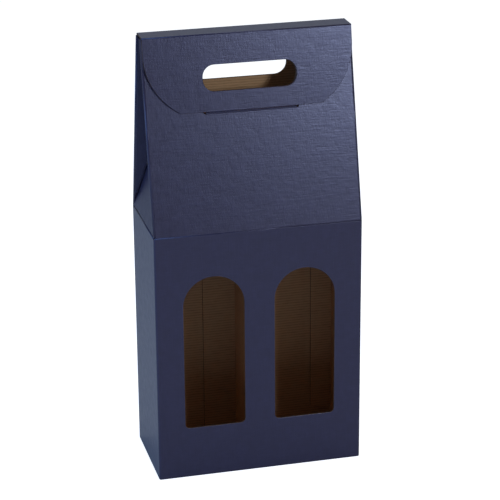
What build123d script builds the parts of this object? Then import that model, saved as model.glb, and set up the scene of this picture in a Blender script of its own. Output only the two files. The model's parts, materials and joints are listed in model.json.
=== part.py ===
from build123d import *
import os
from math import acos, asin, atan2, cos, degrees, radians, sin

# Two-bottle wine carrier box, folded from one die-cut sheet of micro-flute board.
# Millimetres. The origin is the middle of the base, on the table. +Z is up, the
# windows face -Y, and the long side of the base runs along X.

# Driving dimensions
box_width = 180.0  # outside, along X
box_depth = 90.0  # outside, along Y
box_height = 383.0  # table to the top of the ridge
shoulder_height = 221.0  # table to the creases where the gable starts
board = 1.5  # thickness of the micro-flute board
crease_gap = 0.6  # room left at a crease for the fold
rest_gap = 0.4  # air between two boards that lie on each other but move apart

# The ridge and what leans against it
ridge_depth = 20.0  # front to back, over the closing flap
front_tuck = 3.6  # how far the front gable stops short of the ridge's front edge

# Arched windows
window_width = 53.0
window_bottom = 46.0
window_top = 183.5
window_middle = 39.7  # from the middle of the box to the middle of a window
window_foot_radius = 4.0

# Handle slots, one in each layer of the gable
handle_length = 80.0
handle_height = 22.0
handle_radius = 10.0
handle_drop = 36.5  # ridge to the middle of the slot, along the slope

# Closing flap and its tongue
flap_width = 178.0
flap_drop = 64.0
flap_straight_side = 15.0
flap_corner_width = 29.0
flap_corner_bulge = 7.6  # how far the rounded corner stands out from its chord
tongue_width = 78.0
tongue_length = 12.0
tongue_corner = 3.0
tongue_dip = 27.0  # degrees below level at which the tongue points inward
slit_side_play = 2.0
slit_height = 5.4

# Gussets in the narrow sides of the gable
gusset_trim = 1.6  # taken off each edge of a gusset facet, so that it can fold
wing_middle_gap = 2.4  # from the middle of the box to the tip of a gusset wing

# Crash-lock bottom
bottom_side_play = 0.4
bottom_hook = 12.0  # how far each main flap hooks past the middle
bottom_seam_gap = 0.5
minor_flap_reach = 38.0
minor_flap_taper = 9.0

# Glued seam inside the rear right corner
seam_width = 19.0
seam_end_gap = 4.0
seam_taper = 6.0

# Divider between the bottles
divider_height = 196.0
divider_foot_gap = 0.4
divider_front_flange_width = 11.0
divider_back_flange_width = 30.0
divider_corner = 12.0

# Worked out from the sizes above
half_width = box_width / 2
half_depth = box_depth / 2
ridge_under = box_height - board
gable_rise = ridge_under - shoulder_height
front_top_y = -ridge_depth / 2 + front_tuck
back_top_y = ridge_depth / 2
front_lean = atan2(half_depth + front_top_y, gable_rise)
back_lean = atan2(half_depth - back_top_y, box_height - shoulder_height)
front_slope = gable_rise / cos(front_lean) - rest_gap
back_slope = (box_height - shoulder_height) / cos(back_lean) - board / cos(back_lean) - rest_gap
inside_x = half_width - board
inside_y = half_depth - board
floor_top = 2 * board

# The flap hangs from the ridge's front edge and rests on the front gable at its lower edge.
# Where the flap's lower edge lies on the front gable, measured up the gable's slope:
slit_up_slope = front_slope + rest_gap - (flap_drop - front_tuck * sin(front_lean))
slit_y = -half_depth + slit_up_slope * sin(front_lean)
slit_z = shoulder_height + slit_up_slope * cos(front_lean)
flap_foot_y = slit_y - (board + rest_gap) / cos(front_lean)
flap_lean = asin((-ridge_depth / 2 - flap_foot_y) / flap_drop)

front_gable_plane = Plane(
    origin=(0, -half_depth, shoulder_height),
    x_dir=(1, 0, 0),
    z_dir=(0, -cos(front_lean), sin(front_lean)),
)
back_gable_plane = Plane(
    origin=(0, half_depth, shoulder_height),
    x_dir=(-1, 0, 0),
    z_dir=(0, cos(back_lean), sin(back_lean)),
)
flap_plane = Plane(
    origin=(0, -ridge_depth / 2, box_height),
    x_dir=(1, 0, 0),
    z_dir=(0, -cos(flap_lean), sin(flap_lean)),
)


def finish(node, name):
    """Label a finished sub-part and write it to its own STEP file."""
    node.part.label = name
    export_step(node.part, f"parts/{name}.step")
    print(f"{name:26s} {node.part.volume:10.1f} mm3")


os.makedirs("parts", exist_ok=True)

# Front panel with its two arched windows
arch_radius = window_width / 2
arch_spring = window_top - arch_radius
with BuildPart() as front_panel:
    with BuildSketch(Plane.XZ.offset(inside_y)):
        with Locations((0, shoulder_height / 2)):
            Rectangle(box_width, shoulder_height)
        for side in (-1, 1):
            with BuildSketch(mode=Mode.PRIVATE) as window:
                with Locations((side * window_middle, (window_bottom + arch_spring) / 2)):
                    foot = Rectangle(window_width, arch_spring - window_bottom)
                fillet(foot.vertices().group_by(Axis.Y)[0], window_foot_radius)
                with Locations((side * window_middle, arch_spring)):
                    Circle(arch_radius)
            add(window.sketch, mode=Mode.SUBTRACT)
    extrude(amount=board)
finish(front_panel, "front_panel")

# Back panel
with BuildPart() as back_panel:
    with BuildSketch(Plane.XZ.offset(-inside_y)):
        with Locations((0, shoulder_height / 2)):
            Rectangle(box_width, shoulder_height)
    extrude(amount=-board)
finish(back_panel, "back_panel")

# Narrow side panels
for side, side_name in ((-1, "left"), (1, "right")):
    with BuildPart() as side_panel:
        with BuildSketch(Plane.YZ.offset(side * inside_x)):
            with Locations((0, shoulder_height / 2)):
                Rectangle(2 * inside_y, shoulder_height)
        extrude(amount=side * board)
    finish(side_panel, f"{side_name}_side_panel")

# Seam flap, folded from the right side panel and glued inside the back panel
with BuildPart() as glue_seam_flap:
    with BuildSketch(Plane.XZ.offset(-inside_y)):
        with BuildLine():
            Polyline(
                (inside_x, floor_top + seam_end_gap),
                (inside_x, shoulder_height - seam_end_gap),
                (inside_x - seam_width, shoulder_height - seam_end_gap - seam_taper),
                (inside_x - seam_width, floor_top + seam_end_gap + seam_taper),
                close=True,
            )
        make_face()
    extrude(amount=board)
finish(glue_seam_flap, "glue_seam_flap")

# Crash-lock bottom: the two main flaps hook past each other in the middle, and the end of
# each is a corner that folds on a diagonal crease and is glued to the minor flap above it
flap_end = inside_x - bottom_side_play
flap_root = inside_y - bottom_side_play
corner_tip = flap_end - (flap_root - bottom_hook - bottom_seam_gap)
for turn, turn_name in ((0, "front"), (180, "back")):
    with BuildPart() as bottom_flap:
        with BuildSketch():
            with BuildLine():
                Polyline(
                    (-flap_end, -flap_root),
                    (flap_end - crease_gap, -flap_root),
                    (corner_tip - crease_gap, -bottom_hook - bottom_seam_gap),
                    (0, -bottom_hook - bottom_seam_gap),
                    (0, 0),
                    (-bottom_seam_gap, bottom_hook),
                    (-corner_tip, bottom_hook),
                    (-flap_end, 0),
                    close=True,
                )
            make_face()
        extrude(amount=board)
        bottom_shape = bottom_flap.part.rotate(Axis.Z, turn)
        add(bottom_shape, mode=Mode.REPLACE)
    finish(bottom_flap, f"bottom_{turn_name}_flap")

    with BuildPart() as glue_corner:
        with BuildSketch():
            with BuildLine():
                Polyline(
                    (flap_end, -flap_root),
                    (flap_end, -bottom_hook - bottom_seam_gap),
                    (corner_tip, -bottom_hook - bottom_seam_gap),
                    close=True,
                )
            make_face()
        extrude(amount=board)
        corner_shape = glue_corner.part.rotate(Axis.Z, turn)
        add(corner_shape, mode=Mode.REPLACE)
    finish(glue_corner, f"bottom_{turn_name}_glue_corner")

for side, side_name in ((-1, "left"), (1, "right")):
    with BuildPart() as minor_flap:
        with BuildSketch(Plane.XY.offset(board)):
            with BuildLine():
                Polyline(
                    (side * flap_end, -flap_root),
                    (side * flap_end, flap_root),
                    (side * (flap_end - minor_flap_reach), flap_root - minor_flap_taper),
                    (side * (flap_end - minor_flap_reach), -flap_root + minor_flap_taper),
                    close=True,
                )
            make_face()
        extrude(amount=board)
    finish(minor_flap, f"bottom_{side_name}_flap")

# Divider between the two bottles, glued to the front and back panels by its flanges
divider_bottom = floor_top + divider_foot_gap
divider_top = divider_bottom + divider_height
flange_y = inside_y - board
with BuildPart() as divider_wall:
    with BuildSketch(Plane.YZ.offset(-board / 2)):
        with Locations((0, (divider_bottom + divider_top) / 2)):
            wall = Rectangle(2 * flange_y, divider_height)
        chamfer(wall.vertices().group_by(Axis.Y)[-1], divider_corner)
    extrude(amount=board)
finish(divider_wall, "divider_wall")

for name, out, run, width in (
    ("divider_front_flange", -1, 1, divider_front_flange_width),
    ("divider_back_flange", 1, -1, divider_back_flange_width),
):
    with BuildPart() as divider_flange:
        with BuildSketch(Plane.XZ.offset(-out * flange_y)):
            with BuildLine():
                Polyline(
                    (-run * board / 2, divider_bottom),
                    (-run * board / 2, divider_top - divider_corner),
                    (run * width, divider_top - 2 * divider_corner),
                    (run * width, divider_bottom),
                    close=True,
                )
            make_face()
        extrude(amount=-out * board)
    finish(divider_flange, name)

# Gable panels: the front one carries the slit for the tongue
handle_up_front = front_slope + rest_gap - (handle_drop - front_tuck * sin(front_lean))
with BuildPart() as front_gable_panel:
    with BuildSketch(front_gable_plane):
        with Locations((0, (crease_gap + front_slope) / 2)):
            Rectangle(box_width, front_slope - crease_gap)
        with Locations((0, handle_up_front)):
            RectangleRounded(handle_length, handle_height, handle_radius, mode=Mode.SUBTRACT)
        with Locations((0, slit_up_slope - slit_height / 2 + board)):
            SlotOverall(tongue_width + 2 * slit_side_play + slit_height, slit_height, mode=Mode.SUBTRACT)
    extrude(amount=-board)
finish(front_gable_panel, "front_gable_panel")

handle_up_back = (box_height - shoulder_height) / cos(back_lean) - handle_drop
with BuildPart() as back_gable_panel:
    with BuildSketch(back_gable_plane):
        with Locations((0, (crease_gap + back_slope) / 2)):
            Rectangle(box_width, back_slope - crease_gap)
        with Locations((0, handle_up_back)):
            RectangleRounded(handle_length, handle_height, handle_radius, mode=Mode.SUBTRACT)
    extrude(amount=-board)
finish(back_gable_panel, "back_gable_panel")

# Ridge strip
with BuildPart() as top_spine:
    with BuildSketch(Plane.XY.offset(ridge_under)):
        Rectangle(flap_width, ridge_depth)
    extrude(amount=board)
    chamfer(top_spine.edges().filter_by(Axis.X).group_by(Axis.Z)[-1], board * 0.4)
finish(top_spine, "top_spine")

# Closing flap: straight sides, then big rounded corners down to a level lower edge
flap_start = board + crease_gap
corner_left = (-flap_width / 2, -flap_straight_side)
corner_right = (-flap_width / 2 + flap_corner_width, -flap_drop)
chord_x = corner_right[0] - corner_left[0]
chord_y = corner_right[1] - corner_left[1]
chord = (chord_x**2 + chord_y**2) ** 0.5
corner_middle = (
    (corner_left[0] + corner_right[0]) / 2 + flap_corner_bulge * chord_y / chord,
    (corner_left[1] + corner_right[1]) / 2 - flap_corner_bulge * chord_x / chord,
)
with BuildPart() as closing_flap:
    with BuildSketch(flap_plane):
        with BuildLine():
            Line((0, -flap_start), (corner_left[0], -flap_start))
            Line((corner_left[0], -flap_start), corner_left)
            ThreePointArc(corner_left, corner_middle, corner_right)
            Line(corner_right, (0, -flap_drop))
            mirror(about=Plane.YZ)
        make_face()
        with Locations((0, -handle_drop)):
            RectangleRounded(handle_length, handle_height, handle_radius, mode=Mode.SUBTRACT)
    extrude(amount=-board)
finish(closing_flap, "closing_flap")

# Tongue, folded from the middle of the flap's lower edge and tucked through the slit
dip = radians(tongue_dip)
tongue_root = flap_plane.from_local_coords(Vector(0, -flap_drop - crease_gap, -board))
tongue_plane = Plane(
    origin=tongue_root,
    x_dir=(1, 0, 0),
    z_dir=(0, -sin(dip), -cos(dip)),
)
with BuildPart() as tuck_tongue:
    with BuildSketch(tongue_plane):
        with Locations((0, -tongue_length / 2)):
            blade = Rectangle(tongue_width, tongue_length)
        fillet(blade.vertices().group_by(Axis.Y)[0], tongue_corner)
    extrude(amount=board)
finish(tuck_tongue, "tuck_tongue")

# Gussets: on each narrow side a leaning triangle, with a wing on either side of it that
# runs to the edge of the front or back gable panel
mean_lean = (front_lean + back_lean) / 2
gusset_slope = min(front_slope, back_slope)
gusset_tilt = acos((gusset_slope - half_depth * sin(mean_lean)) / (gusset_slope * cos(mean_lean)))
fold_stack = 2 * board + rest_gap
wing_top_gap = board + crease_gap
for side, side_name in ((-1, "left"), (1, "right")):
    triangle_plane = Plane(
        origin=(side * half_width, 0, shoulder_height),
        x_dir=(0, side, 0),
        z_dir=(side * cos(gusset_tilt), 0, sin(gusset_tilt)),
    )
    apex = triangle_plane.from_local_coords(Vector(0, gusset_slope, 0))
    with BuildPart() as gusset_triangle:
        with BuildSketch(triangle_plane):
            with BuildLine():
                Polyline((-inside_y, 0), (inside_y, 0), (0, gusset_slope), close=True)
            make_face()
            offset(amount=-gusset_trim, kind=Kind.INTERSECTION)
        extrude(amount=-board)
    finish(gusset_triangle, f"{side_name}_gusset_triangle")

    for depth_side, lean, slope, wing_name in (
        (-1, front_lean, front_slope, "front"),
        (1, back_lean, back_slope, "back"),
    ):
        stack = fold_stack / cos(lean)
        wing_foot = Vector(
            side * half_width,
            depth_side * (half_depth - stack),
            shoulder_height,
        )
        wing_head = wing_foot + Vector(0, -depth_side * slope * sin(lean), slope * cos(lean))
        edge_up = (wing_head - wing_foot).normalized()
        wing_normal = (apex - wing_foot).cross(edge_up).normalized() * (side * depth_side)
        wing_plane = Plane(origin=wing_foot, x_dir=edge_up, z_dir=wing_normal)
        corners = []
        for corner in (wing_foot, apex, wing_head):
            local = wing_plane.to_local_coords(corner)
            corners.append((local.X, local.Y))
        with BuildPart() as gusset_wing:
            with BuildSketch(wing_plane):
                with BuildLine():
                    Polyline(*corners, close=True)
                make_face()
                offset(amount=-gusset_trim, kind=Kind.INTERSECTION)
            extrude(amount=-board)
            split(bisect_by=Plane.XY.offset(ridge_under - wing_top_gap), keep=Keep.BOTTOM)
            wing_stop = Plane(origin=(0, depth_side * wing_middle_gap, 0), z_dir=(0, depth_side, 0))
            split(bisect_by=wing_stop, keep=Keep.TOP)
        finish(gusset_wing, f"{side_name}_{wing_name}_gusset_wing")

# Where the moving creases lie, for reference
print(f"front gable crease       y {-half_depth:.3f} z {shoulder_height:.3f}")
print(f"front lean {degrees(front_lean):.3f}  back lean {degrees(back_lean):.3f}")
print(f"flap lean {degrees(flap_lean):.3f}  gusset tilt {degrees(gusset_tilt):.3f}")
print(f"slit y {slit_y:.3f} z {slit_z:.3f}  tongue root {tongue_root}")
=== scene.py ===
"""Two-bottle wine carrier box in navy linen-embossed board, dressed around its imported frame."""
import json
import math

import bmesh
import bpy
from bpy.props import FloatProperty, FloatVectorProperty, PointerProperty, StringProperty
from mathutils import Matrix, Vector


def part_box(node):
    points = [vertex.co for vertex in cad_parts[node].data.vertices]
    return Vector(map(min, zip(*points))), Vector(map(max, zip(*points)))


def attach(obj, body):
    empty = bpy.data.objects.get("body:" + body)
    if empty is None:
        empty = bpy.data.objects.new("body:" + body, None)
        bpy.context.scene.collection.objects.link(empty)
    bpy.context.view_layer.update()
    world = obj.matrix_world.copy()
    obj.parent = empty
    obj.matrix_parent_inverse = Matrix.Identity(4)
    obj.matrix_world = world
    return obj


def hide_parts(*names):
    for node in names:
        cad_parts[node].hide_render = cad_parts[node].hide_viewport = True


bl_info = {
    "name": "Wine Carrier Box",
    "version": (1, 0, 0),
    "blender": (4, 5, 0),
    "location": "View3D > Sidebar > Carrier",
    "description": "Builds a gable-top bottle carrier from folded micro-flute board",
    "category": "Object",
}

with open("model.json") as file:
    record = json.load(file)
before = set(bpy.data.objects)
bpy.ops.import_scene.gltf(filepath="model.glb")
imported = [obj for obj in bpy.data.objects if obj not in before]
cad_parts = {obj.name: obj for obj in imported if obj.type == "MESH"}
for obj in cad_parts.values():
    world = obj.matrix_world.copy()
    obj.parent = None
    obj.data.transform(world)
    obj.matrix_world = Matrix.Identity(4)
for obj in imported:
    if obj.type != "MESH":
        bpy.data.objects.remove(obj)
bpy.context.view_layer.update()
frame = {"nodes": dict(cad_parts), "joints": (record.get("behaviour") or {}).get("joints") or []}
MM = 0.001
SIDES = (("left", -1), ("right", 1))
JOINTS = {joint["name"]: joint for joint in frame["joints"]}

# Places read from the frame, in metres
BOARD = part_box("top_spine")[1].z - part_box("top_spine")[0].z
HALF_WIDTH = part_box("front_panel")[1].x
HALF_DEPTH = -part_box("front_panel")[0].y
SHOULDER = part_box("front_panel")[1].z
RIDGE_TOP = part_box("top_spine")[1].z
RIDGE_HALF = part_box("top_spine")[1].y
INSIDE_X = HALF_WIDTH - BOARD
INSIDE_Y = HALF_DEPTH - BOARD

# Small lengths of the folding, in metres
CREASE_GAP = 0.6 * MM  # a panel starts this far from its crease
FACET_TRIM = 1.6 * MM  # a gusset facet stops this far from its crease
FOLD_PLAY = 0.2 * MM  # a gable's side fold is this much rounder than the board is thick
SECOND_ROLL_THINNER = 0.02 * MM  # the second roll of a fold, for its other body, is this much thinner
INNER_CORNER = 0.5 * MM  # inside radius of the sleeve's corners
CROWN_FLAT = 0.05 * MM  # left unrounded at the top of an arch, so that its two arcs don't meet
MERGE = 0.01 * MM  # points closer than this are one point
PAST = 0.01  # a cutter reaches this far past what it cuts
CUTTER_REACH = 3 * BOARD  # half the depth of a cutter that goes through one board

# Where the noise of the emboss turns from groove to thread
GROOVE_LEVEL = 0.22
THREAD_LEVEL = 0.72

# Each lamp: its name, place, side length, the property with its power, and its tint
LAMPS = (
    ("left_softbox", (-1.7, -0.35, 0.75), 0.9, "key_power", (0.25, 0.52, 1.0)),
    ("top_softbox", (0.1, 0.2, 1.7), 0.9, "top_power", (0.84, 0.92, 1.0)),
    ("front_softbox", (0.58, -1.35, 0.74), 0.24, "front_power", (0.83, 0.92, 1.0)),
)
LAMPS_AIM = Vector((0, 0, 0.2))
SKY_TINT = (0.80, 0.89, 1.0, 1)
FLOOR_HALF = 4.0
SENSOR_WIDTH = 36.0


def slope_of(joint_name):
    """The direction up a gable panel, from the crease joint along its side edge."""
    direction = Vector(JOINTS[joint_name]["axis"])
    return direction if direction.z > 0 else -direction


FRONT_UP = slope_of("left_front_wing_spread")
BACK_UP = slope_of("left_back_wing_spread")


class CarrierSizes(bpy.types.PropertyGroup):
    """Sizes of the folded carrier that the frame doesn't give."""

    window_width: FloatProperty(
        name="Window width", description="Width of an arched window", default=0.053, unit="LENGTH"
    )
    window_bottom: FloatProperty(
        name="Window sill", description="Table to the foot of a window", default=0.046, unit="LENGTH"
    )
    window_top: FloatProperty(
        name="Window crown", description="Table to the top of the arch", default=0.1835, unit="LENGTH"
    )
    window_foot: FloatProperty(
        name="Window corners", description="Radius of the lower corners", default=0.004, unit="LENGTH"
    )
    window_middle: FloatProperty(
        name="Window place", description="Middle of the box to a window", default=0.0397, unit="LENGTH"
    )
    handle_length: FloatProperty(
        name="Handle length", description="Length of the handle slot", default=0.080, unit="LENGTH"
    )
    handle_height: FloatProperty(
        name="Handle height", description="Height of the handle slot", default=0.022, unit="LENGTH"
    )
    handle_radius: FloatProperty(
        name="Handle corners", description="Corner radius of the slot", default=0.010, unit="LENGTH"
    )
    handle_drop: FloatProperty(
        name="Handle place", description="Ridge to the middle of the slot", default=0.0365, unit="LENGTH"
    )
    front_tuck: FloatProperty(
        name="Front tuck", description="Ridge's front edge to the top of the front gable",
        default=0.0036, unit="LENGTH",
    )
    flap_drop: FloatProperty(
        name="Flap length", description="Ridge to the flap's lower edge", default=0.064, unit="LENGTH"
    )
    flap_side: FloatProperty(
        name="Flap side", description="Straight part of the flap's side", default=0.015, unit="LENGTH"
    )
    flap_corner: FloatProperty(
        name="Flap corner", description="Width of the rounded corner", default=0.029, unit="LENGTH"
    )
    flap_bulge: FloatProperty(
        name="Flap bulge", description="Rise of the corner's arc", default=0.0076, unit="LENGTH"
    )
    slit_length: FloatProperty(
        name="Slit length", description="Length of the tuck slit", default=0.082, unit="LENGTH"
    )
    slit_height: FloatProperty(
        name="Slit height", description="Height of the tuck slit", default=0.0054, unit="LENGTH"
    )
    fold_radius: FloatProperty(
        name="Fold radius", description="Outside radius of a corner fold", default=0.0018, unit="LENGTH"
    )
    cut_softness: FloatProperty(
        name="Cut softness", description="Rounding of a die-cut edge", default=0.0003, unit="LENGTH"
    )


class CarrierFinish(bpy.types.PropertyGroup):
    """Colours of the papers, as sRGB hex, with a painted highlight on the threads and painted shade on the
    cut edges, and the scale of their texture.
    """

    navy: StringProperty(name="Navy paper", description="Embossed cover paper", default="322C3C")
    # The raised threads' lighter navy is a painted highlight, where light would catch the emboss.
    navy_thread_highlight: StringProperty(name="Raised thread", description="Top of the emboss", default="3B3650")
    sheen: StringProperty(name="Sheen", description="Tint of the paper's gloss", default="C8CCF2")
    kraft: StringProperty(name="Kraft liner", description="Brown inside of the board", default="C49C76")
    kraft_fibre: StringProperty(name="Kraft fibre", description="Dark fibres in it", default="A37B58")
    # Both edge colours are darker copies of the kraft: painted shade on the narrow cut edge, and painted
    # shadow in the hollows of the flutes.
    cut: StringProperty(name="Cut edge", description="Liner seen edge on", default="71563F")
    flute: StringProperty(name="Flute shadow", description="Hollow of the flutes", default="46342A")
    gloss_smooth: FloatProperty(name="Smooth patches", description="Least roughness", default=0.28)
    gloss_rough: FloatProperty(name="Rough patches", description="Greatest roughness", default=0.34)
    emboss_depth: FloatProperty(
        name="Emboss depth", description="Depth that the threads seem to have", default=0.00014,
        unit="LENGTH",
    )
    thread_pitch: FloatProperty(
        name="Thread pitch", description="Spacing of the embossed threads", default=0.0011, unit="LENGTH"
    )
    cloud_size: FloatProperty(
        name="Cloud size", description="Size of the patches in the sheen", default=0.006, unit="LENGTH"
    )
    flute_pitch: FloatProperty(
        name="Flute pitch", description="Spacing of the micro-flutes", default=0.0024, unit="LENGTH"
    )
    floor: StringProperty(name="Floor", description="Pale studio floor", default="F4F4F4")


class CarrierStudio(bpy.types.PropertyGroup):
    """Where the photograph was taken from, and the lamps."""

    camera_place: FloatVectorProperty(
        name="Camera", description="Place of the lens", default=(-0.3938, -1.5866, 0.8020), subtype="XYZ"
    )
    yaw: FloatProperty(
        name="Yaw", description="Turn to the right", default=math.radians(14.046), subtype="ANGLE"
    )
    pitch: FloatProperty(
        name="Pitch", description="Tilt downward", default=math.radians(20.619), subtype="ANGLE"
    )
    roll: FloatProperty(
        name="Roll", description="Roll of the camera", default=math.radians(-0.452), subtype="ANGLE"
    )
    lens: FloatProperty(name="Lens", description="Focal length in mm on 36 mm", default=146.11)
    key_power: FloatProperty(name="Key lamp", description="Power of the left softbox", default=17.0)
    top_power: FloatProperty(name="Top lamp", description="Power of the overhead softbox", default=8.0)
    front_power: FloatProperty(name="Front lamp", description="Power of the front softbox", default=7.8)
    world_strength: FloatProperty(name="Sky", description="Strength of the even light", default=0.12)
    backdrop: FloatProperty(
        name="Backdrop", description="Brightness of the wall that the gloss mirrors", default=0.42
    )
    floor_glow: FloatProperty(
        name="Floor glow", description="Light added to the floor for the camera only", default=0.86
    )


def sizes():
    """The sizes that a user can change."""
    return bpy.context.scene.carrier_sizes


def finish_values():
    """The colours and texture scales that a user can change."""
    return bpy.context.scene.carrier_finish


def linear(hex_colour):
    """An sRGB hex colour as the linear RGBA that shaders take."""
    channels = [int(hex_colour[i:i + 2], 16) / 255 for i in (0, 2, 4)]
    toned = [c / 12.92 if c <= 0.04045 else ((c + 0.055) / 1.055) ** 2.4 for c in channels]
    return (*toned, 1.0)


def add_node(tree, kind, links=(), **settings):
    """Add one node, set its properties and input values, and link outputs into its inputs."""
    node = tree.nodes.new(kind)
    for key, value in settings.items():
        if key.startswith("in_"):
            node.inputs[int(key[3:])].default_value = value
        else:
            setattr(node, key, value)
    for source, socket in links:
        tree.links.new(source, node.inputs[socket])
    return node


def start_material(name, roughness, specular):
    """An empty Principled material, with its shader and object coordinates ready."""
    material = bpy.data.materials.new(name)
    material.use_nodes = True
    tree = material.node_tree
    tree.nodes.clear()
    shader = add_node(tree, "ShaderNodeBsdfPrincipled")
    shader.inputs["Roughness"].default_value = roughness
    shader.inputs["Specular IOR Level"].default_value = specular
    add_node(tree, "ShaderNodeOutputMaterial", [(shader.outputs[0], "Surface")])
    place = add_node(tree, "ShaderNodeTexCoord").outputs["Object"]
    return material, tree, shader, place


def threads(tree, place, stretch, pitch, detail=2.0):
    """Noise drawn out along the threads of the emboss: 0 in the grooves, 1 on the threads."""
    mapping = add_node(tree, "ShaderNodeMapping", [(place, "Vector")])
    mapping.inputs["Scale"].default_value = stretch
    noise = add_node(tree, "ShaderNodeTexNoise", [(mapping.outputs[0], "Vector")])
    noise.inputs["Scale"].default_value = 1 / pitch
    noise.inputs["Detail"].default_value = detail
    steps = add_node(tree, "ShaderNodeMapRange", [(noise.outputs["Fac"], 0)])
    steps.inputs["From Min"].default_value = GROOVE_LEVEL
    steps.inputs["From Max"].default_value = THREAD_LEVEL
    return steps.outputs[0]


def linen_paper():
    """Cover paper embossed like linen: a calendered, faintly glossy dyed paper, pressed by a roller.

    The eye sees short crossing threads that catch the light, and a soft cloudy sheen. The real
    threads are about half a millimetre apart; they are drawn twice as coarse, so that they show.
    Their tops are also painted a lighter navy, a painted highlight that is strongest in the cloud's
    patches; the bump gives the relief itself.
    """
    values = finish_values()
    material, tree, shader, place = start_material(
        "navy_linen_paper", roughness=values.gloss_rough, specular=0.6
    )
    shader.inputs["Specular Tint"].default_value = linear(values.sheen)
    weft = threads(tree, place, (0.10, 0.10, 1.0), values.thread_pitch)
    warp = threads(tree, place, (1.0, 1.0, 0.07), values.thread_pitch)
    weave = add_node(tree, "ShaderNodeMath", [(weft, 0), (warp, 1)], operation="ADD")
    height = add_node(tree, "ShaderNodeMath", [(weave.outputs[0], 0)], operation="MULTIPLY", in_1=0.5)
    cloud = add_node(tree, "ShaderNodeTexNoise", [(place, "Vector")])
    cloud.inputs["Scale"].default_value = 1 / values.cloud_size
    cloud.inputs["Detail"].default_value = 3.0
    # Painted highlight: the raised threads get the lighter navy, most in the cloud's patches.
    shade = add_node(
        tree, "ShaderNodeMath", [(height.outputs[0], 0), (cloud.outputs["Fac"], 1)], operation="MULTIPLY"
    )
    colour = add_node(tree, "ShaderNodeMix", [(shade.outputs[0], 0)], data_type="RGBA")
    colour.inputs[6].default_value = linear(values.navy)
    colour.inputs[7].default_value = linear(values.navy_thread_highlight)
    tree.links.new(colour.outputs[2], shader.inputs["Base Color"])
    gloss = add_node(tree, "ShaderNodeMapRange", [(cloud.outputs["Fac"], 0)])
    gloss.inputs["From Min"].default_value = 0.3
    gloss.inputs["From Max"].default_value = 0.7
    gloss.inputs["To Min"].default_value = values.gloss_smooth
    gloss.inputs["To Max"].default_value = values.gloss_rough
    tree.links.new(gloss.outputs[0], shader.inputs["Roughness"])
    relief = add_node(
        tree, "ShaderNodeMath", [(cloud.outputs["Fac"], 0), (height.outputs[0], 2)],
        operation="MULTIPLY_ADD", in_1=1.4,
    )
    bump = add_node(tree, "ShaderNodeBump", [(relief.outputs[0], "Height")])
    bump.inputs["Strength"].default_value = 0.4
    bump.inputs["Distance"].default_value = values.emboss_depth
    tree.links.new(bump.outputs[0], shader.inputs["Normal"])
    return material


def kraft_liner():
    """Uncoated brown kraft paper: matt, with long fibres and faint lines where the flutes show."""
    material, tree, shader, place = start_material("kraft_liner", roughness=0.85, specular=0.25)
    values = finish_values()
    fibres = threads(tree, place, (0.25, 0.25, 1.0), 1.6 * MM, detail=6.0)
    flutes = add_node(tree, "ShaderNodeTexWave", [(place, "Vector")], bands_direction="Z")
    # The wave texture turns 20 radians per metre at a scale of 1.
    flutes.inputs["Scale"].default_value = math.tau / (20 * values.flute_pitch)
    flutes.inputs["Distortion"].default_value = 0.3
    both = add_node(
        tree, "ShaderNodeMath", [(fibres, 0), (flutes.outputs["Fac"], 2)],
        operation="MULTIPLY_ADD", in_1=0.6,
    )
    colour = add_node(tree, "ShaderNodeMix", [(both.outputs[0], 0)], data_type="RGBA")
    colour.inputs[6].default_value = linear(values.kraft_fibre)
    colour.inputs[7].default_value = linear(values.kraft)
    tree.links.new(colour.outputs[2], shader.inputs["Base Color"])
    bump = add_node(tree, "ShaderNodeBump", [(both.outputs[0], "Height")])
    bump.inputs["Strength"].default_value = 0.3
    bump.inputs["Distance"].default_value = 0.1 * MM
    tree.links.new(bump.outputs[0], shader.inputs["Normal"])
    return material


def cut_board():
    """Die-cut edge of micro-flute board: brown liners with the flutes between, all painted darker than the
    kraft as shade, darkest in the flutes' hollows.
    """
    values = finish_values()
    material, tree, shader, place = start_material("cut_board_edge", roughness=0.9, specular=0.2)
    flutes = add_node(tree, "ShaderNodeTexNoise", [(place, "Vector")])
    flutes.inputs["Scale"].default_value = 1 / values.flute_pitch
    # Noise mixes the darkened liner with the painted shadow of the flute hollows.
    colour = add_node(tree, "ShaderNodeMix", [(flutes.outputs["Fac"], 0)], data_type="RGBA")
    colour.inputs[6].default_value = linear(values.flute)
    colour.inputs[7].default_value = linear(values.cut)
    tree.links.new(colour.outputs[2], shader.inputs["Base Color"])
    return material


PAPERS = {}
OUTSIDE, INSIDE, CUT = 0, 1, 2


def papers():
    """The papers that the board is made of, each made once."""
    if not PAPERS:
        PAPERS["cover"] = linen_paper()
        PAPERS["liner"] = kraft_liner()
        PAPERS["cut"] = cut_board()
    return PAPERS


def new_piece(name, bm, outside="cover"):
    """Turn a bmesh into a linked object with the sheet's materials: outside, inside and cut edge."""
    mesh = bpy.data.meshes.new(name)
    bm.to_mesh(mesh)
    bm.free()
    made = papers()
    for key in (outside, "liner", "cut"):
        mesh.materials.append(made[key])
    piece = bpy.data.objects.new(name, mesh)
    bpy.context.scene.collection.objects.link(piece)
    return piece


def paint(bm, index):
    """Give every face the same material."""
    for face in bm.faces:
        face.material_index = index


def round_edges(bm, edges, radius, segments):
    """Bevel the edges to a round."""
    bmesh.ops.bevel(
        bm, geom=edges, offset=radius, segments=segments, affect="EDGES", profile=0.5, material=-1
    )


def block(low, high, upright_radius=0.0, segments=6):
    """A solid box between two corners, its upright edges rounded."""
    bm = bmesh.new()
    bmesh.ops.create_cube(bm, size=1.0)
    low, high = Vector(low), Vector(high)
    bmesh.ops.scale(bm, vec=high - low, verts=bm.verts)
    bmesh.ops.translate(bm, vec=(low + high) / 2, verts=bm.verts)
    if upright_radius:
        edges = [e for e in bm.edges if abs((e.verts[0].co - e.verts[1].co).normalized().z) > 0.9]
        round_edges(bm, edges, upright_radius, segments)
    return bm


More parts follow.
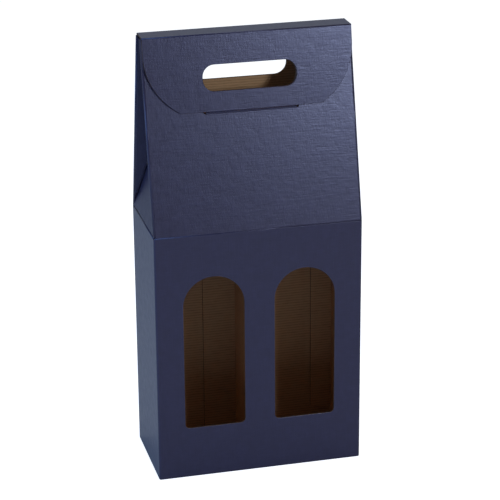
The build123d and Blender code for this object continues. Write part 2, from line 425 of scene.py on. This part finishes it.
def apply_modifiers(piece):
    """Keep the piece's evaluated mesh, and drop its modifiers."""
    bpy.context.view_layer.update()
    evaluated = piece.evaluated_get(bpy.context.evaluated_depsgraph_get())
    mesh = bpy.data.meshes.new_from_object(evaluated)
    old = piece.data
    piece.modifiers.clear()
    piece.data = mesh
    mesh.name = piece.name
    bpy.data.meshes.remove(old)


def cut_away(piece, cutters):
    """Take the cutters out of the piece. A cutter's own material goes onto the walls that it leaves."""
    for cutter in cutters:
        trim = piece.modifiers.new("cut", "BOOLEAN")
        trim.operation = "DIFFERENCE"
        trim.solver = "EXACT"
        trim.object = cutter
    apply_modifiers(piece)
    for cutter in cutters:
        bpy.data.objects.remove(cutter)


def soften(piece, width):
    """Round the cut edges a little, as a die leaves them."""
    bevel = piece.modifiers.new("cut_edges", "BEVEL")
    bevel.width = width
    bevel.segments = 2
    bevel.limit_method = "ANGLE"
    bevel.angle_limit = math.radians(50)
    apply_modifiers(piece)


def on_slope(origin, up, right):
    """Matrix from a panel's flat layout (x right, y up the slope, z out of the sheet) to its place."""
    out = right.cross(up)
    matrix = Matrix.Identity(4)
    for row in range(3):
        matrix[row][0] = right[row]
        matrix[row][1] = up[row]
        matrix[row][2] = out[row]
        matrix[row][3] = origin[row]
    return matrix


def sheet_panel(name, outline_bm, place, is_cut, holes=()):
    """A flat panel of board, laid out below the plane z = 0 and then moved to its place.

    is_cut tells of a point on the panel's edge whether it was die-cut; the rest of the edge is a fold.
    """
    outline_bm.normal_update()
    for face in outline_bm.faces:
        if face.normal.z < -0.7:
            face.material_index = INSIDE
        elif abs(face.normal.z) < 0.7 and is_cut(face.calc_center_median()):
            face.material_index = CUT
        else:
            face.material_index = OUTSIDE
    piece = new_piece(name, outline_bm)
    cutters = [new_piece(f"{name}_hole_{number}", hole) for number, hole in enumerate(holes)]
    if cutters:
        cut_away(piece, cutters)
    soften(piece, sizes().cut_softness)
    piece.data.transform(place)
    return piece


def handle_hole(up_slope):
    """Cutter for the handle slot, centred up_slope along the panel."""
    s = sizes()
    low = (-s.handle_length / 2, up_slope - s.handle_height / 2, -CUTTER_REACH)
    high = (s.handle_length / 2, up_slope + s.handle_height / 2, CUTTER_REACH)
    hole = block(low, high, s.handle_radius, segments=10)
    paint(hole, CUT)
    return hole


def fold_roll(name, start, end, radius, *bodies):
    """The rounded back of a fold from start to end: one roll for each body that meets there.

    The rolls lie in the same place at rest, and part like the two sides of a crease.
    """
    start, end = Vector(start), Vector(end)
    turn = Vector((0, 0, 1)).rotation_difference((end - start).normalized()).to_matrix().to_4x4()
    for number, body in enumerate(bodies):
        size = radius - number * SECOND_ROLL_THINNER
        bm = bmesh.new()
        bmesh.ops.create_cone(
            bm, cap_ends=True, segments=20, radius1=size, radius2=size, depth=(end - start).length
        )
        bmesh.ops.transform(bm, matrix=Matrix.Translation((start + end) / 2) @ turn, verts=bm.verts)
        for face in bm.faces:
            face.smooth = len(face.verts) == 4
        piece = new_piece(name if len(bodies) == 1 else f"{name}_{body}_half", bm)
        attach(piece, body)


def fold_centre(corner, toward, other, radius):
    """The middle of a roll that touches the two outer faces leaving a corner along two directions."""
    half_angle = toward.angle(other) / 2
    return corner + (toward + other).normalized() * (radius / math.sin(half_angle))


def dressed_copy(node, name, outward, body, outside="cover", is_fold=None):
    """A CAD panel's own shape, merged, with the cover on the side that outward points to.

    is_fold tells from an edge face's normal whether the edge is a crease, which the cover goes round.
    """
    bm = bmesh.new()
    bm.from_mesh(frame["nodes"][node].data)
    bmesh.ops.remove_doubles(bm, verts=bm.verts, dist=MERGE)
    bmesh.ops.dissolve_limit(bm, angle_limit=math.radians(2), verts=bm.verts, edges=bm.edges)
    bmesh.ops.recalc_face_normals(bm, faces=bm.faces)
    outward = Vector(outward).normalized()
    largest = max(bm.faces, key=lambda face: face.calc_area())
    across = largest.normal * (1 if largest.normal.dot(outward) > 0 else -1)
    for face in bm.faces:
        lean = face.normal.dot(across)
        if lean < -0.9:
            face.material_index = INSIDE
        elif lean > 0.9 or (is_fold and is_fold(face.normal)):
            face.material_index = OUTSIDE
        else:
            face.material_index = CUT
    piece = new_piece(name, bm, outside)
    soften(piece, sizes().cut_softness)
    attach(piece, body)
    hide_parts(node)


class CARRIER_OT_sleeve(bpy.types.Operator):
    """Fold the four upright panels into one sleeve, with its two arched windows"""

    bl_idname = "carrier.sleeve"
    bl_label = "Sleeve and windows"

    def execute(self, context):
        s = sizes()
        outer = block(
            (-HALF_WIDTH, -HALF_DEPTH, 0), (HALF_WIDTH, HALF_DEPTH, SHOULDER), s.fold_radius
        )
        outer.normal_update()
        for face in outer.faces:
            face.material_index = CUT if abs(face.normal.z) > 0.7 else OUTSIDE
        sleeve = new_piece("box_sleeve", outer)
        inner = block(
            (-INSIDE_X, -INSIDE_Y, -PAST), (INSIDE_X, INSIDE_Y, SHOULDER + PAST), INNER_CORNER, segments=3
        )
        paint(inner, INSIDE)
        cutters = [new_piece("sleeve_room", inner)]
        for side_name, side in SIDES:
            middle = side * s.window_middle
            low = (middle - s.window_width / 2, -HALF_DEPTH - PAST, s.window_bottom)
            high = (middle + s.window_width / 2, -INSIDE_Y + PAST, s.window_top)
            arch = block(low, high)
            across = [
                e for e in arch.edges if abs(e.verts[0].co.x - e.verts[1].co.x) < 1e-6
                and abs(e.verts[0].co.z - e.verts[1].co.z) < 1e-6
            ]
            crown = [e for e in across if e.verts[0].co.z > s.window_top - 1e-6]
            foot = [e for e in across if e not in crown]
            round_edges(arch, crown, s.window_width / 2 - CROWN_FLAT, segments=24)
            round_edges(arch, [e for e in foot if e.is_valid], s.window_foot, segments=8)
            paint(arch, CUT)
            cutters.append(new_piece(f"{side_name}_arch", arch))
        cut_away(sleeve, cutters)
        soften(sleeve, s.cut_softness)
        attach(sleeve, "box")
        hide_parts("front_panel", "back_panel", "left_side_panel", "right_side_panel")
        return {"FINISHED"}


class CARRIER_OT_shoulder_folds(bpy.types.Operator):
    """Round the four creases where the sleeve turns into the gable"""

    bl_idname = "carrier.shoulder_folds"
    bl_label = "Shoulder folds"

    def execute(self, context):
        radius = BOARD / 2
        end_x = HALF_WIDTH - radius
        for name, y in (("front", -HALF_DEPTH + radius), ("back", HALF_DEPTH - radius)):
            ends = ((-end_x, y, SHOULDER), (end_x, y, SHOULDER))
            fold_roll(f"{name}_shoulder_fold", *ends, radius, "box", f"{name}_gable")
        end_y = HALF_DEPTH - BOARD
        for side_name, side in SIDES:
            x = side * (HALF_WIDTH - radius)
            ends = ((x, -end_y, SHOULDER), (x, end_y, SHOULDER))
            fold_roll(f"{side_name}_shoulder_fold", *ends, radius, "box", f"{side_name}_gusset")
        return {"FINISHED"}


class CARRIER_OT_seam_and_bottom(bpy.types.Operator):
    """Dress the glued seam flap and the crash-lock bottom"""

    bl_idname = "carrier.seam_and_bottom"
    bl_label = "Seam and bottom"

    def execute(self, context):
        dressed_copy("glue_seam_flap", "seam_flap", (0, 1, 0), "box")
        down = (0, 0, -1)
        for turn_name in ("front", "back"):
            dressed_copy(f"bottom_{turn_name}_flap", f"{turn_name}_floor", down, "box")
            dressed_copy(f"bottom_{turn_name}_glue_corner", f"{turn_name}_floor_corner", down, "box")
        for side_name, _ in SIDES:
            dressed_copy(f"bottom_{side_name}_flap", f"{side_name}_floor", down, "box")
        return {"FINISHED"}


class CARRIER_OT_divider(bpy.types.Operator):
    """Dress the kraft divider that keeps the bottles apart"""

    bl_idname = "carrier.divider"
    bl_label = "Divider"

    def execute(self, context):
        for part_name, outward in (
            ("divider_wall", (1, 0, 0)),
            ("divider_front_flange", (0, -1, 0)),
            ("divider_back_flange", (0, 1, 0)),
        ):
            piece_name = part_name.replace("divider", "bottle_divider")
            dressed_copy(part_name, piece_name, outward, "box", outside="liner")
        return {"FINISHED"}


class CARRIER_OT_gables(bpy.types.Operator):
    """Make the two leaning gable panels, with the handle slots, the tuck slit and their side folds"""

    bl_idname = "carrier.gables"
    bl_label = "Gable panels"

    def execute(self, context):
        s = sizes()
        roll = BOARD + FOLD_PLAY
        for name, up, depth_side, right in (
            ("front", FRONT_UP, -1, Vector((1, 0, 0))),
            ("back", BACK_UP, 1, Vector((-1, 0, 0))),
        ):
            node = f"{name}_gable_panel"
            origin = Vector((0, depth_side * HALF_DEPTH, SHOULDER))
            out = right.cross(up)
            top = (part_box(node)[1].z - SHOULDER) / up.z
            panel = block((-HALF_WIDTH + roll, CREASE_GAP, -BOARD), (HALF_WIDTH - roll, top, 0))
            if name == "front":
                holes = [handle_hole(self.level_with_flap(up)), self.tuck_slit(up)]
            else:
                holes = [handle_hole((RIDGE_TOP - SHOULDER) / up.z - s.handle_drop)]
            free_top = name == "front"
            piece = sheet_panel(
                f"{name}_gable", panel, on_slope(origin, up, right),
                lambda point: free_top and point.y > top - MM, holes,
            )
            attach(piece, f"{name}_gable")
            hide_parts(node)
            for side_name, side in SIDES:
                foot = origin + Vector((side * (HALF_WIDTH - roll), 0, 0)) - out * roll
                fold_roll(
                    f"{side_name}_{name}_gable_fold", foot + up * 2 * CREASE_GAP, foot + up * top, roll,
                    f"{name}_gable", f"{side_name}_{name}_wing",
                )
        return {"FINISHED"}

    @staticmethod
    def level_with_flap(up):
        """Where the front slot lies up its own slope, to be in line with the flap's slot."""
        s = sizes()
        top = (RIDGE_TOP - BOARD - SHOULDER) / up.z
        return top - s.handle_drop + s.front_tuck * up.y

    @staticmethod
    def tuck_slit(up):
        """Cutter for the slit that takes the tongue, just below the flap's lower edge."""
        s = sizes()
        middle = (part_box("closing_flap")[0].z - SHOULDER) / up.z + BOARD / 2
        low = (-s.slit_length / 2, middle - s.slit_height / 2, -CUTTER_REACH)
        high = (s.slit_length / 2, middle + s.slit_height / 2, CUTTER_REACH)
        return block(low, high, s.slit_height * 0.45)


class CARRIER_OT_gussets(bpy.types.Operator):
    """Dress the folded gussets in the narrow sides of the gable, and round their valley creases"""

    bl_idname = "carrier.gussets"
    bl_label = "Gussets"

    def execute(self, context):
        bead = math.hypot(FACET_TRIM - BOARD / 2, BOARD / 2) - BOARD / 2
        for side_name, side in SIDES:
            dressed_copy(
                f"{side_name}_gusset_triangle", f"{side_name}_gusset", (side, 0, 0.3),
                f"{side_name}_gusset", is_fold=lambda normal: True,
            )
            apex, out = self.apex_and_out(side)
            for wing, depth_side in (("front", -1), ("back", 1)):
                node = f"{side_name}_{wing}_gusset_wing"
                dressed_copy(
                    node, f"{side_name}_{wing}_pleat", (0, -depth_side, 0), f"{side_name}_{wing}_wing",
                    is_fold=lambda normal: True,
                )
                foot = Vector((side * HALF_WIDTH, depth_side * INSIDE_Y, SHOULDER))
                self.panel_edge(
                    f"{side_name}_{wing}_valley_fold", foot, apex, (0.02, 0.93),
                    Vector((0, -depth_side, 0)), out, f"{side_name}_gusset",
                )
                # The front wing closes in on the triangle as the box opens, so its edge stays plain.
                if wing == "back":
                    middle, wing_out = self.recess_face(node, -depth_side)
                    wing_foot, wing_apex = (
                        point - wing_out * (point - middle).dot(wing_out) for point in (foot, apex)
                    )
                    self.panel_edge(
                        f"{side_name}_{wing}_pleat_fold", wing_foot, wing_apex, (0.09, 0.88),
                        BACK_UP, wing_out, f"{side_name}_{wing}_wing",
                    )
                # The bead's radius just reaches a round edge set back by FACET_TRIM from the same line.
                fold_roll(
                    f"{side_name}_{wing}_crease_bead", foot.lerp(apex, 0.03), foot.lerp(apex, 0.92),
                    bead, f"{side_name}_gusset",
                )
        return {"FINISHED"}

    @staticmethod
    def panel_edge(name, foot, apex, span, toward, out, body):
        """Half-round edge of a panel that stops short of a crease, over a span from foot to apex."""
        along = (apex - foot).normalized()
        inward = (toward - along * toward.dot(along)).normalized()
        radius = BOARD / 2
        shift = inward * (FACET_TRIM - radius) - out * radius
        fold_roll(name, *(foot.lerp(apex, share) + shift for share in span), radius, body)

    @staticmethod
    def recess_face(node, toward_y):
        """Middle and normal of a wing's face that looks into the gusset's recess."""
        mesh = frame["nodes"][node].data
        faces = [face for face in mesh.polygons if face.normal.y * toward_y > 0.5]
        widest = max(faces, key=lambda face: face.area)
        return widest.center.copy(), widest.normal.copy()

    @staticmethod
    def apex_and_out(side):
        """Top of a gusset triangle, where both its creases meet, and the way that it faces."""
        slope = (RIDGE_TOP - BOARD - SHOULDER) / BACK_UP.z
        lean = (FRONT_UP.angle((0, 0, 1)) + BACK_UP.angle((0, 0, 1))) / 2
        tilt = math.acos((slope - HALF_DEPTH * math.sin(lean)) / (slope * math.cos(lean)))
        inset = slope * math.sin(tilt)
        apex = Vector((side * (HALF_WIDTH - inset), 0, SHOULDER + slope * math.cos(tilt)))
        return apex, Vector((side * math.cos(tilt), 0, math.sin(tilt)))


class CARRIER_OT_closure(bpy.types.Operator):
    """Make the ridge, the closing flap with its round corners, and the tongue"""

    bl_idname = "carrier.closure"
    bl_label = "Ridge and flap"

    def execute(self, context):
        s = sizes()
        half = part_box("top_spine")[1].x
        across = Vector((1, 0, 0))
        edge = Vector((0, RIDGE_HALF, RIDGE_TOP))
        front_edge = Vector((0, -RIDGE_HALF, RIDGE_TOP))
        fold = BOARD / 2

        strip = block((-half, -RIDGE_HALF + fold, -BOARD), (half, RIDGE_HALF - fold, 0))
        ridge_place = on_slope(Vector((0, 0, RIDGE_TOP)), Vector((0, 1, 0)), across)
        ridge = sheet_panel("ridge_strip", strip, ridge_place, lambda point: abs(point.x) > half - MM)
        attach(ridge, "ridge")
        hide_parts("top_spine")

        foot_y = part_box("closing_flap")[0].y
        lean = math.asin((-RIDGE_HALF - foot_y) / s.flap_drop)
        up = Vector((0, math.sin(lean), math.cos(lean)))
        flap = sheet_panel(
            "closing_flap_panel", self.flap_outline(half), on_slope(front_edge, up, across),
            lambda point: point.y < -2 * BOARD, [handle_hole(-s.handle_drop)],
        )
        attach(flap, "flap")
        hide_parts("closing_flap")
        dressed_copy(
            "tuck_tongue", "flap_tongue", (0, -0.4, -1), "tongue", is_fold=lambda normal: normal.y < -0.5
        )

        inward = Vector((0, 1, 0))
        tongue_out = Vector((0, -1, 0)).lerp(Vector((0, 0, -1)), 0.5).normalized()
        tongue_root = Vector(JOINTS["tongue_straighten"]["pos_m"])
        tongue_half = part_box("tuck_tongue")[1].x - fold
        for name, centre, reach, bodies in (
            ("front_ridge_fold", fold_centre(front_edge, inward, -up, fold), half, ("ridge", "flap")),
            ("back_ridge_fold", fold_centre(edge, -inward, -BACK_UP, fold), half, ("ridge", "back_gable")),
            ("tongue_fold", tongue_root - tongue_out * fold, tongue_half, ("flap", "tongue")),
        ):
            fold_roll(name, centre - across * reach, centre + across * reach, fold, *bodies)
        return {"FINISHED"}

    @staticmethod
    def flap_outline(half):
        """The flap's outline in its layout plane: straight sides, then one large arc at each corner."""
        s = sizes()
        start = BOARD / 2
        side_end = Vector((-half, -s.flap_side, 0))
        corner_end = Vector((-half + s.flap_corner, -s.flap_drop, 0))
        chord = corner_end - side_end
        radius = (chord.length ** 2 / 4 + s.flap_bulge ** 2) / (2 * s.flap_bulge)
        inward = Vector((-chord.y, chord.x, 0)).normalized()
        centre = (side_end + corner_end) / 2 + inward * (radius - s.flap_bulge)
        angle = 2 * math.asin(chord.length / 2 / radius)
        bm = bmesh.new()
        top_middle = bm.verts.new((0, -start, 0))
        top_corner = bm.verts.new((-half, -start, 0))
        arc_start = bm.verts.new(side_end)
        bm.edges.new((top_middle, top_corner))
        bm.edges.new((top_corner, arc_start))
        made = bmesh.ops.spin(
            bm, geom=[arc_start], cent=centre, axis=(0, 0, 1), dvec=(0, 0, 0), angle=angle, steps=24
        )
        last = [g for g in made["geom_last"] if isinstance(g, bmesh.types.BMVert)][0]
        foot_middle = bm.verts.new((0, -s.flap_drop, 0))
        bm.edges.new((last, foot_middle))
        bm.edges.new((foot_middle, top_middle))
        bmesh.ops.contextual_create(bm, geom=bm.edges[:])
        bmesh.ops.mirror(bm, geom=bm.verts[:] + bm.edges[:] + bm.faces[:], axis="X", merge_dist=MERGE)
        bmesh.ops.dissolve_limit(bm, angle_limit=math.radians(0.5), verts=bm.verts, edges=bm.edges)
        bmesh.ops.recalc_face_normals(bm, faces=bm.faces)
        lid = bmesh.ops.extrude_face_region(bm, geom=bm.faces[:])
        moved = [g for g in lid["geom"] if isinstance(g, bmesh.types.BMVert)]
        bmesh.ops.translate(bm, vec=(0, 0, -BOARD), verts=moved)
        bmesh.ops.recalc_face_normals(bm, faces=bm.faces)
        return bm


class CARRIER_OT_studio(bpy.types.Operator):
    """Set the pale floor, the lamps and the camera at the photograph's angle"""

    bl_idname = "carrier.studio"
    bl_label = "Studio"

    def execute(self, context):
        scene = context.scene
        scene.view_settings.view_transform = "Standard"
        self.place_camera(scene)
        self.lay_floor(scene)
        self.light(scene)
        return {"FINISHED"}

    @staticmethod
    def place_camera(scene):
        """The camera that was fitted to the photo."""
        studio = scene.carrier_studio
        ahead = Vector(
            (
                math.sin(studio.yaw) * math.cos(studio.pitch),
                math.cos(studio.yaw) * math.cos(studio.pitch),
                -math.sin(studio.pitch),
            )
        )
        level = Vector((math.cos(studio.yaw), -math.sin(studio.yaw), 0))
        upright = level.cross(ahead)
        right = level * math.cos(studio.roll) + upright * math.sin(studio.roll)
        top = upright * math.cos(studio.roll) - level * math.sin(studio.roll)
        camera_data = bpy.data.cameras.new("photo_camera")
        camera_data.lens = studio.lens
        camera_data.sensor_width = SENSOR_WIDTH
        camera = bpy.data.objects.new("photo_camera", camera_data)
        scene.collection.objects.link(camera)
        turn = Matrix((right, top, -ahead)).transposed().to_4x4()
        camera.matrix_world = Matrix.Translation(Vector(studio.camera_place)) @ turn
        scene.camera = camera

    @staticmethod
    def lay_floor(scene):
        """A matt white floor that stays plain white to the camera, apart from the box's shadow."""
        bm = bmesh.new()
        bmesh.ops.create_grid(bm, x_segments=1, y_segments=1, size=FLOOR_HALF)
        mesh = bpy.data.meshes.new("floor")
        bm.to_mesh(mesh)
        bm.free()
        floor = bpy.data.objects.new("floor", mesh)
        scene.collection.objects.link(floor)
        material, tree, shader, _ = start_material("studio_floor", roughness=0.9, specular=0.1)
        shader.inputs["Base Color"].default_value = linear(scene.carrier_finish.floor)
        path = add_node(tree, "ShaderNodeLightPath")
        bright = add_node(tree, "ShaderNodeEmission")
        bright.inputs["Color"].default_value = (1, 1, 1, 1)
        bright.inputs["Strength"].default_value = scene.carrier_studio.floor_glow
        both = add_node(tree, "ShaderNodeAddShader", [(shader.outputs[0], 0), (bright.outputs[0], 1)])
        choose = add_node(
            tree, "ShaderNodeMixShader",
            [(path.outputs["Is Camera Ray"], 0), (shader.outputs[0], 1), (both.outputs[0], 2)],
        )
        output = next(n for n in tree.nodes if n.type == "OUTPUT_MATERIAL")
        tree.links.new(choose.outputs[0], output.inputs["Surface"])
        mesh.materials.append(material)

    @staticmethod
    def light(scene):
        """The lamps, and a sky: white to the camera, and to the gloss a wall behind the box."""
        studio = scene.carrier_studio
        for name, place, size, power, tint in LAMPS:
            lamp = bpy.data.lights.new(name, "AREA")
            lamp.shape = "SQUARE"
            lamp.size = size
            lamp.energy = getattr(studio, power)
            lamp.color = tint
            holder = bpy.data.objects.new(name, lamp)
            scene.collection.objects.link(holder)
            holder.location = place
            aim = LAMPS_AIM - Vector(place)
            holder.rotation_euler = aim.to_track_quat("-Z", "Y").to_euler()
        world = bpy.data.worlds.new("studio")
        scene.world = world
        world.use_nodes = True
        tree = world.node_tree
        tree.nodes.clear()
        path = add_node(tree, "ShaderNodeLightPath")
        even = add_node(tree, "ShaderNodeBackground", in_0=SKY_TINT, in_1=studio.world_strength)
        backdrop = add_node(tree, "ShaderNodeBackground", in_0=SKY_TINT, in_1=studio.backdrop)
        white = add_node(tree, "ShaderNodeBackground", in_0=(1, 1, 1, 1), in_1=1.0)
        facing = add_node(tree, "ShaderNodeTexCoord").outputs["Generated"]
        parts = add_node(tree, "ShaderNodeSeparateXYZ", [(facing, 0)])
        wall = add_node(
            tree, "ShaderNodeMath", [(parts.outputs["Y"], 0)], operation="GREATER_THAN", in_1=0.0
        )
        behind = add_node(
            tree, "ShaderNodeMath", [(wall.outputs[0], 0), (path.outputs["Is Glossy Ray"], 1)],
            operation="MULTIPLY",
        )
        mirrored = add_node(
            tree, "ShaderNodeMixShader",
            [(behind.outputs[0], 0), (even.outputs[0], 1), (backdrop.outputs[0], 2)],
        )
        seen = add_node(
            tree, "ShaderNodeMixShader",
            [(path.outputs["Is Camera Ray"], 0), (mirrored.outputs[0], 1), (white.outputs[0], 2)],
        )
        add_node(tree, "ShaderNodeOutputWorld", [(seen.outputs[0], "Surface")])


class CARRIER_PT_panel(bpy.types.Panel):
    """Lists the carrier's sizes, papers and steps"""

    bl_idname = "CARRIER_PT_panel"
    bl_label = "Wine Carrier Box"
    bl_space_type = "VIEW_3D"
    bl_region_type = "UI"
    bl_category = "Carrier"

    def draw(self, context):
        layout = self.layout
        for step in STEPS:
            layout.operator(step.bl_idname)
        for kind, key in GROUPS:
            box = layout.box()
            for name in kind.__annotations__:
                box.prop(getattr(context.scene, key), name)


STEPS = (
    CARRIER_OT_studio,
    CARRIER_OT_sleeve,
    CARRIER_OT_shoulder_folds,
    CARRIER_OT_seam_and_bottom,
    CARRIER_OT_divider,
    CARRIER_OT_gables,
    CARRIER_OT_gussets,
    CARRIER_OT_closure,
)
GROUPS = (
    (CarrierSizes, "carrier_sizes"),
    (CarrierFinish, "carrier_finish"),
    (CarrierStudio, "carrier_studio"),
)


def register():
    """Make the properties, the steps and the panel known."""
    for group, key in GROUPS:
        bpy.utils.register_class(group)
        setattr(bpy.types.Scene, key, PointerProperty(type=group))
    for step in STEPS:
        bpy.utils.register_class(step)
    bpy.utils.register_class(CARRIER_PT_panel)


def unregister():
    """Take back what register made known."""
    bpy.utils.unregister_class(CARRIER_PT_panel)
    for step in reversed(STEPS):
        bpy.utils.unregister_class(step)
    for group, key in reversed(GROUPS):
        delattr(bpy.types.Scene, key)
        bpy.utils.unregister_class(group)


def main():
    """Build every piece in order."""
    register()
    for step in STEPS:
        group, verb = step.bl_idname.split(".")
        result = getattr(getattr(bpy.ops, group), verb)()
        if result != {"FINISHED"}:
            raise RuntimeError(f"{step.bl_idname} didn't finish")


if __name__ == "__main__":
    main()
